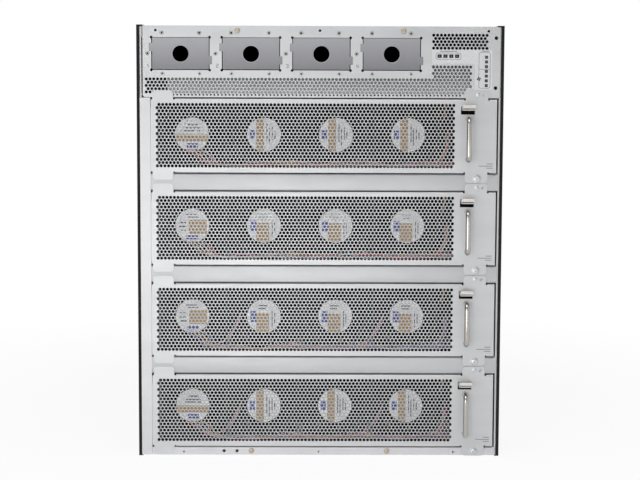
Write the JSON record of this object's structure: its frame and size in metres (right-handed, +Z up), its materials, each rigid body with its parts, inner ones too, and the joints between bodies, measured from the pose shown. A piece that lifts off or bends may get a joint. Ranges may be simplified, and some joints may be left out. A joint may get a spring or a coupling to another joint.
{
  "type": "modular chassis switch",
  "caption": "Rack chassis for a modular network switch, fan tray side out: perforated trays with fans, handles and latches, bay panel above.",
  "frame": {"origin": "bottom centre of the bounding box", "axes": "+Z up, -Y out of the fan tray face, +X to the right seen from that face"},
  "size_m": [0.4826, 0.69, 0.5205],
  "materials": {
    "zinc_sheet": "satin zinc-plated sheet",
    "black_panel": "fine black powder coat",
    "cover_sheet": "dark grey powder coat",
    "bay_plate": "matt grey",
    "polished_rod": "polished",
    "latch_steel": "satin",
    "bright_screw": "bright",
    "bronze_screw": "dull",
    "fan_plastic": "moulded black",
    "lamp_lens": "milky",
    "circuit_board": "solder resist",
    "lead_jacket": "smooth"
  },
  "bodies": {
    "chassis": {"chassis_shell": "zinc_sheet", "top_cover": "zinc_sheet", "side_panel_left": "black_panel", "side_panel_right": "black_panel", "crossmembers": "zinc_sheet", "upper_panel": "zinc_sheet", "power_bay_plates": "bay_plate", "power_cage": "zinc_sheet", "status_lamps": "lamp_lens", "panel_screws": "bronze_screw", "midplane": "circuit_board", "tray_guides": "zinc_sheet", "mid_shelf": "zinc_sheet", "front_frame": "black_panel", "slot_covers": "cover_sheet", "supply_modules": "cover_sheet"},
    "tray_1": {"fan_tray_1": "zinc_sheet", "fan_frames_1": "fan_plastic", "pull_handle_1": "polished_rod", "tray_screws_1": "bright_screw", "fan_leads_1": "lead_jacket", "fan_board_1": "circuit_board"},
    "latch_1": {"release_latch_1": "latch_steel"},
    "rotor_1_1": {"rotor_1_1": "fan_plastic"},
    "rotor_1_2": {"rotor_1_2": "fan_plastic"},
    "rotor_1_3": {"rotor_1_3": "fan_plastic"},
    "rotor_1_4": {"rotor_1_4": "fan_plastic"},
    "tray_2": {"fan_tray_2": "zinc_sheet", "fan_frames_2": "fan_plastic", "pull_handle_2": "polished_rod", "tray_screws_2": "bright_screw", "fan_leads_2": "lead_jacket", "fan_board_2": "circuit_board"},
    "latch_2": {"release_latch_2": "latch_steel"},
    "rotor_2_1": {"rotor_2_1": "fan_plastic"},
    "rotor_2_2": {"rotor_2_2": "fan_plastic"},
    "rotor_2_3": {"rotor_2_3": "fan_plastic"},
    "rotor_2_4": {"rotor_2_4": "fan_plastic"},
    "tray_3": {"fan_tray_3": "zinc_sheet", "fan_frames_3": "fan_plastic", "pull_handle_3": "polished_rod", "tray_screws_3": "bright_screw", "fan_leads_3": "lead_jacket", "fan_board_3": "circuit_board"},
    "latch_3": {"release_latch_3": "latch_steel"},
    "rotor_3_1": {"rotor_3_1": "fan_plastic"},
    "rotor_3_2": {"rotor_3_2": "fan_plastic"},
    "rotor_3_3": {"rotor_3_3": "fan_plastic"},
    "rotor_3_4": {"rotor_3_4": "fan_plastic"},
    "tray_4": {"fan_tray_4": "zinc_sheet", "fan_frames_4": "fan_plastic", "pull_handle_4": "polished_rod", "tray_screws_4": "bright_screw", "fan_leads_4": "lead_jacket", "fan_board_4": "circuit_board"},
    "latch_4": {"release_latch_4": "latch_steel"},
    "rotor_4_1": {"rotor_4_1": "fan_plastic"},
    "rotor_4_2": {"rotor_4_2": "fan_plastic"},
    "rotor_4_3": {"rotor_4_3": "fan_plastic"},
    "rotor_4_4": {"rotor_4_4": "fan_plastic"}
  },
  "joints": [
    {"name": "tray_1_slide", "type": "slide", "parent": "chassis", "child": "tray_1", "axis": [0, -1, 0], "range_m": [0, 0.3]},
    {"name": "latch_1_press", "type": "slide", "parent": "tray_1", "child": "latch_1", "axis": [0, 0, -1], "range_m": [0, 0.0045], "stiffness_N_per_m": 800, "springref_m": -0.004},
    {"name": "rotor_1_1_spin", "type": "hinge", "parent": "tray_1", "child": "rotor_1_1", "pos_m": [-0.155, -0.28, 0.38955], "axis": [0, 1, 0], "continuous": true},
    {"name": "rotor_1_2_spin", "type": "hinge", "parent": "tray_1", "child": "rotor_1_2", "pos_m": [-0.0678, -0.28, 0.38955], "axis": [0, 1, 0], "continuous": true},
    {"name": "rotor_1_3_spin", "type": "hinge", "parent": "tray_1", "child": "rotor_1_3", "pos_m": [0.0194, -0.28, 0.38955], "axis": [0, 1, 0], "continuous": true},
    {"name": "rotor_1_4_spin", "type": "hinge", "parent": "tray_1", "child": "rotor_1_4", "pos_m": [0.1066, -0.28, 0.38955], "axis": [0, 1, 0], "continuous": true},
    {"name": "tray_2_slide", "type": "slide", "parent": "chassis", "child": "tray_2", "axis": [0, -1, 0], "range_m": [0, 0.3]},
    {"name": "latch_2_press", "type": "slide", "parent": "tray_2", "child": "latch_2", "axis": [0, 0, -1], "range_m": [0, 0.0045], "stiffness_N_per_m": 800, "springref_m": -0.004},
    {"name": "rotor_2_1_spin", "type": "hinge", "parent": "tray_2", "child": "rotor_2_1", "pos_m": [-0.155, -0.28, 0.27855], "axis": [0, 1, 0], "continuous": true},
    {"name": "rotor_2_2_spin", "type": "hinge", "parent": "tray_2", "child": "rotor_2_2", "pos_m": [-0.0678, -0.28, 0.27855], "axis": [0, 1, 0], "continuous": true},
    {"name": "rotor_2_3_spin", "type": "hinge", "parent": "tray_2", "child": "rotor_2_3", "pos_m": [0.0194, -0.28, 0.27855], "axis": [0, 1, 0], "continuous": true},
    {"name": "rotor_2_4_spin", "type": "hinge", "parent": "tray_2", "child": "rotor_2_4", "pos_m": [0.1066, -0.28, 0.27855], "axis": [0, 1, 0], "continuous": true},
    {"name": "tray_3_slide", "type": "slide", "parent": "chassis", "child": "tray_3", "axis": [0, -1, 0], "range_m": [0, 0.3]},
    {"name": "latch_3_press", "type": "slide", "parent": "tray_3", "child": "latch_3", "axis": [0, 0, -1], "range_m": [0, 0.0045], "stiffness_N_per_m": 800, "springref_m": -0.004},
    {"name": "rotor_3_1_spin", "type": "hinge", "parent": "tray_3", "child": "rotor_3_1", "pos_m": [-0.155, -0.28, 0.16755], "axis": [0, 1, 0], "continuous": true},
    {"name": "rotor_3_2_spin", "type": "hinge", "parent": "tray_3", "child": "rotor_3_2", "pos_m": [-0.0678, -0.28, 0.16755], "axis": [0, 1, 0], "continuous": true},
    {"name": "rotor_3_3_spin", "type": "hinge", "parent": "tray_3", "child": "rotor_3_3", "pos_m": [0.0194, -0.28, 0.16755], "axis": [0, 1, 0], "continuous": true},
    {"name": "rotor_3_4_spin", "type": "hinge", "parent": "tray_3", "child": "rotor_3_4", "pos_m": [0.1066, -0.28, 0.16755], "axis": [0, 1, 0], "continuous": true},
    {"name": "tray_4_slide", "type": "slide", "parent": "chassis", "child": "tray_4", "axis": [0, -1, 0], "range_m": [0, 0.3]},
    {"name": "latch_4_press", "type": "slide", "parent": "tray_4", "child": "latch_4", "axis": [0, 0, -1], "range_m": [0, 0.0045], "stiffness_N_per_m": 800, "springref_m": -0.004},
    {"name": "rotor_4_1_spin", "type": "hinge", "parent": "tray_4", "child": "rotor_4_1", "pos_m": [-0.155, -0.28, 0.05655], "axis": [0, 1, 0], "continuous": true},
    {"name": "rotor_4_2_spin", "type": "hinge", "parent": "tray_4", "child": "rotor_4_2", "pos_m": [-0.0678, -0.28, 0.05655], "axis": [0, 1, 0], "continuous": true},
    {"name": "rotor_4_3_spin", "type": "hinge", "parent": "tray_4", "child": "rotor_4_3", "pos_m": [0.0194, -0.28, 0.05655], "axis": [0, 1, 0], "continuous": true},
    {"name": "rotor_4_4_spin", "type": "hinge", "parent": "tray_4", "child": "rotor_4_4", "pos_m": [0.1066, -0.28, 0.05655], "axis": [0, 1, 0], "continuous": true}
  ]
}
